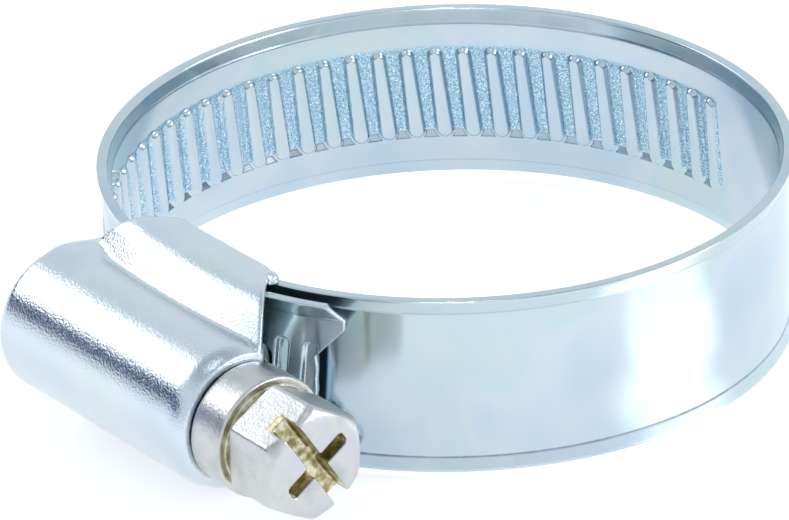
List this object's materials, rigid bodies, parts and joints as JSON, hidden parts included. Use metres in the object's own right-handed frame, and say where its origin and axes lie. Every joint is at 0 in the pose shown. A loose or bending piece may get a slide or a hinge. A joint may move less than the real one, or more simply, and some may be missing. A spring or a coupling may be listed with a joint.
{
  "type": "hose clamp",
  "caption": "Worm-drive hose clamp: a steel strip loops round a hose and back through a pressed housing, where a hex-head worm screw winds it tight.",
  "frame": {"origin": "on the hose axis, half-way up the strip", "axes": "+Z along the hose axis; the housing is on the -Y side and its screw runs along X with the hexagon at the +X end"},
  "size_m": [0.0442, 0.0534, 0.0136],
  "materials": {
    "band_zinc": "bright zinc plate over rolled strip, semi-gloss, faint blue-green passivation",
    "housing_zinc": "bright zinc plate over pressed sheet, glossy with a fine orange-peel grain",
    "screw_zinc": "satin zinc plate with a fine grain",
    "recess_zinc": "yellow passivation left in the undercut and the drive slots"
  },
  "bodies": {
    "clamp_seat": {"housing": "housing_zinc", "band_fixed_end": "band_zinc"},
    "worm_screw": {"screw": "screw_zinc"},
    "strip_01": {"band_link_01": "band_zinc"},
    "strip_02": {"band_link_02": "band_zinc"},
    "strip_03": {"band_link_03": "band_zinc"},
    "strip_04": {"band_link_04": "band_zinc"},
    "strip_05": {"band_link_05": "band_zinc"},
    "strip_06": {"band_link_06": "band_zinc"},
    "strip_07": {"band_link_07": "band_zinc"},
    "strip_08": {"band_link_08": "band_zinc"},
    "strip_09": {"band_link_09": "band_zinc"},
    "strip_10": {"band_link_10": "band_zinc"},
    "strip_11": {"band_link_11": "band_zinc"},
    "strip_12": {"band_link_12": "band_zinc"},
    "strip_13": {"band_link_13": "band_zinc"},
    "strip_14": {"band_link_14": "band_zinc"},
    "strip_15": {"band_link_15": "band_zinc"},
    "strip_16": {"band_link_16": "band_zinc"},
    "strip_17": {"band_link_17": "band_zinc"},
    "strip_18": {"band_link_18": "band_zinc"},
    "strip_19": {"band_link_19": "band_zinc"},
    "strip_20": {"band_link_20": "band_zinc"},
    "strip_21": {"band_link_21": "band_zinc"},
    "strip_22": {"band_link_22": "band_zinc"},
    "strip_23": {"band_link_23": "band_zinc"},
    "strip_24": {"band_link_24": "band_zinc"},
    "strip_25": {"band_link_25": "band_zinc"}
  },
  "joints": [
    {"name": "screw_spin", "type": "hinge", "parent": "clamp_seat", "child": "worm_screw", "pos_m": [0.012, -0.0265, 0], "axis": [-1, 0, 0], "range_deg": [0, 9969]},
    {"name": "fold_01", "type": "hinge", "parent": "clamp_seat", "child": "strip_01", "pos_m": [0.00739, -0.01976, 0], "axis": [0, 0, 1], "range_deg": [0, 13.73]},
    {"name": "fold_02", "type": "hinge", "parent": "strip_01", "child": "strip_02", "pos_m": [0.0124, -0.01707, 0], "axis": [0, 0, 1], "range_deg": [0, 12.42]},
    {"name": "fold_03", "type": "hinge", "parent": "strip_02", "child": "strip_03", "pos_m": [0.0165, -0.01315, 0], "axis": [0, 0, 1], "range_deg": [0, 11.39]},
    {"name": "fold_04", "type": "hinge", "parent": "strip_03", "child": "strip_04", "pos_m": [0.01941, -0.00827, 0], "axis": [0, 0, 1], "range_deg": [0, 11.69]},
    {"name": "fold_05", "type": "hinge", "parent": "strip_04", "child": "strip_05", "pos_m": [0.02092, -0.00279, 0], "axis": [0, 0, 1], "range_deg": [0, 11.57]},
    {"name": "fold_06", "type": "hinge", "parent": "strip_05", "child": "strip_06", "pos_m": [0.0209, 0.0029, 0], "axis": [0, 0, 1], "range_deg": [0, 11.16]},
    {"name": "fold_07", "type": "hinge", "parent": "strip_06", "child": "strip_07", "pos_m": [0.01937, 0.00837, 0], "axis": [0, 0, 1], "range_deg": [0, 11.26]},
    {"name": "fold_08", "type": "hinge", "parent": "strip_07", "child": "strip_08", "pos_m": [0.01643, 0.01323, 0], "axis": [0, 0, 1], "range_deg": [0, 9.7]},
    {"name": "fold_09", "type": "hinge", "parent": "strip_08", "child": "strip_09", "pos_m": [0.01231, 0.01714, 0], "axis": [0, 0, 1], "range_deg": [0, 9.24]},
    {"name": "fold_10", "type": "hinge", "parent": "strip_09", "child": "strip_10", "pos_m": [0.00729, 0.0198, 0], "axis": [0, 0, 1], "range_deg": [0, 10.24]},
    {"name": "fold_11", "type": "hinge", "parent": "strip_10", "child": "strip_11", "pos_m": [0.00174, 0.02103, 0], "axis": [0, 0, 1], "range_deg": [0, 11.12]},
    {"name": "fold_12", "type": "hinge", "parent": "strip_11", "child": "strip_12", "pos_m": [-0.00394, 0.02073, 0], "axis": [0, 0, 1], "range_deg": [0, 10.58]},
    {"name": "fold_13", "type": "hinge", "parent": "strip_12", "child": "strip_13", "pos_m": [-0.00933, 0.01893, 0], "axis": [0, 0, 1], "range_deg": [0, 9.7]},
    {"name": "fold_14", "type": "hinge", "parent": "strip_13", "child": "strip_14", "pos_m": [-0.01404, 0.01575, 0], "axis": [0, 0, 1], "range_deg": [0, 8.17]},
    {"name": "fold_15", "type": "hinge", "parent": "strip_14", "child": "strip_15", "pos_m": [-0.01773, 0.01143, 0], "axis": [0, 0, 1], "range_deg": [0, 10.09]},
    {"name": "fold_16", "type": "hinge", "parent": "strip_15", "child": "strip_16", "pos_m": [-0.02017, 0.0063, 0], "axis": [0, 0, 1], "range_deg": [0, 9.32]},
    {"name": "fold_17", "type": "hinge", "parent": "strip_16", "child": "strip_17", "pos_m": [-0.02122, 0.00071, 0], "axis": [0, 0, 1], "range_deg": [0, 9.93]},
    {"name": "fold_18", "type": "hinge", "parent": "strip_17", "child": "strip_18", "pos_m": [-0.0208, -0.00496, 0], "axis": [0, 0, 1], "range_deg": [0, 9.37]},
    {"name": "fold_19", "type": "hinge", "parent": "strip_18", "child": "strip_19", "pos_m": [-0.01894, -0.01033, 0], "axis": [0, 0, 1], "range_deg": [0, 9.43]},
    {"name": "fold_20", "type": "hinge", "parent": "strip_19", "child": "strip_20", "pos_m": [-0.01577, -0.01505, 0], "axis": [0, 0, 1], "range_deg": [0, 9.78]},
    {"name": "fold_21", "type": "hinge", "parent": "strip_20", "child": "strip_21", "pos_m": [-0.0115, -0.0188, 0], "axis": [0, 0, 1], "range_deg": [0, 9.73]},
    {"name": "fold_22", "type": "hinge", "parent": "strip_21", "child": "strip_22", "pos_m": [-0.00642, -0.02134, 0], "axis": [0, 0, 1], "range_deg": [0, 7.79]},
    {"name": "fold_23", "type": "hinge", "parent": "strip_22", "child": "strip_23", "pos_m": [-0.00085, -0.02249, 0], "axis": [0, 0, 1], "range_deg": [0, 5.47]},
    {"name": "fold_24", "type": "hinge", "parent": "strip_23", "child": "strip_24", "pos_m": [0.00483, -0.02218, 0], "axis": [0, 0, 1], "range_deg": [0, 4.41]},
    {"name": "fold_25", "type": "hinge", "parent": "strip_24", "child": "strip_25", "pos_m": [0.01023, -0.02042, 0], "axis": [0, 0, 1], "range_deg": [0, 4.12]}
  ],
  "couplings": [
    {"joint": "fold_01", "follows": "screw_spin", "ratio": 0.001375},
    {"joint": "fold_02", "follows": "screw_spin", "ratio": 0.0012441},
    {"joint": "fold_03", "follows": "screw_spin", "ratio": 0.0011403},
    {"joint": "fold_04", "follows": "screw_spin", "ratio": 0.0011707},
    {"joint": "fold_05", "follows": "screw_spin", "ratio": 0.001159},
    {"joint": "fold_06", "follows": "screw_spin", "ratio": 0.0011175},
    {"joint": "fold_07", "follows": "screw_spin", "ratio": 0.0011273},
    {"joint": "fold_08", "follows": "screw_spin", "ratio": 0.00097096},
    {"joint": "fold_09", "follows": "screw_spin", "ratio": 0.00092476},
    {"joint": "fold_10", "follows": "screw_spin", "ratio": 0.0010248},
    {"joint": "fold_11", "follows": "screw_spin", "ratio": 0.0011132},
    {"joint": "fold_12", "follows": "screw_spin", "ratio": 0.0010598},
    {"joint": "fold_13", "follows": "screw_spin", "ratio": 0.00097079},
    {"joint": "fold_14", "follows": "screw_spin", "ratio": 0.00081739},
    {"joint": "fold_15", "follows": "screw_spin", "ratio": 0.0010105},
    {"joint": "fold_16", "follows": "screw_spin", "ratio": 0.00093332},
    {"joint": "fold_17", "follows": "screw_spin", "ratio": 0.0009943},
    {"joint": "fold_18", "follows": "screw_spin", "ratio": 0.00093763},
    {"joint": "fold_19", "follows": "screw_spin", "ratio": 0.00094378},
    {"joint": "fold_20", "follows": "screw_spin", "ratio": 0.00097855},
    {"joint": "fold_21", "follows": "screw_spin", "ratio": 0.00097441},
    {"joint": "fold_22", "follows": "screw_spin", "ratio": 0.00077986},
    {"joint": "fold_23", "follows": "screw_spin", "ratio": 0.00054675},
    {"joint": "fold_24", "follows": "screw_spin", "ratio": 0.00044054},
    {"joint": "fold_25", "follows": "screw_spin", "ratio": 0.00041117}
  ]
}
